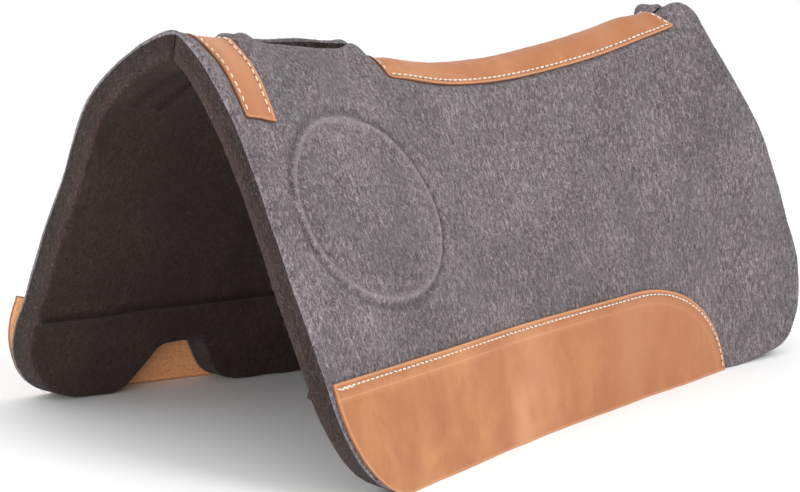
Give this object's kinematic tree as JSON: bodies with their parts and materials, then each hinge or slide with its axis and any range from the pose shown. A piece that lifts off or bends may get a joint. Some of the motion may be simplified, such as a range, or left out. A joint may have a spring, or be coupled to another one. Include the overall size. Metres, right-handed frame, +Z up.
{
  "type": "western saddle pad",
  "caption": "Contoured wool felt saddle pad in two halves joined along the spine, with leather wear panels, spine strip and wither strap.",
  "frame": {"origin": "on the floor under the middle of the pad, half way across and half way along its overall length", "axes": "+Y along the spine towards the rear of the horse, +X towards the horse's left side, +Z up"},
  "size_m": [0.4352, 0.9451, 0.3886],
  "materials": {
    "grey_felt": "heather grey pressed wool felt",
    "dark_felt": "dark pressed wool felt",
    "liner_felt": "dark wool felt, slightly napped",
    "insert_felt": "resilient felt insert",
    "tan_leather": "natural russet leather with burnished edges",
    "white_thread": "waxed thread",
    "dark_thread": "waxed thread"
  },
  "bodies": {
    "left_half": {"outer_felt_left": "grey_felt", "core_felt_left": "dark_felt", "liner_felt_left": "liner_felt", "shoulder_insert_left": "insert_felt", "wear_leather_left": "tan_leather", "wear_leather_stitching_left": "white_thread", "spine_strip": "tan_leather", "spine_strip_stitching": "white_thread", "wither_strap": "tan_leather", "wither_strap_stitching": "white_thread", "front_seam_thread": "dark_thread", "rear_seam_thread": "dark_thread"},
    "right_half": {"outer_felt_right": "grey_felt", "core_felt_right": "dark_felt", "liner_felt_right": "liner_felt", "shoulder_insert_right": "insert_felt", "wear_leather_right": "tan_leather", "wear_leather_stitching_right": "white_thread"}
  },
  "joints": [
    {"name": "spine_fold", "type": "hinge", "parent": "left_half", "child": "right_half", "pos_m": [0, 0, 0.345], "axis": [0, 1, 0], "range_deg": [-10, 14], "stiffness_Nm_per_rad": 15, "deforming": ["spine_strip", "spine_strip_stitching", "wither_strap", "wither_strap_stitching", "front_seam_thread", "rear_seam_thread"]}
  ]
}
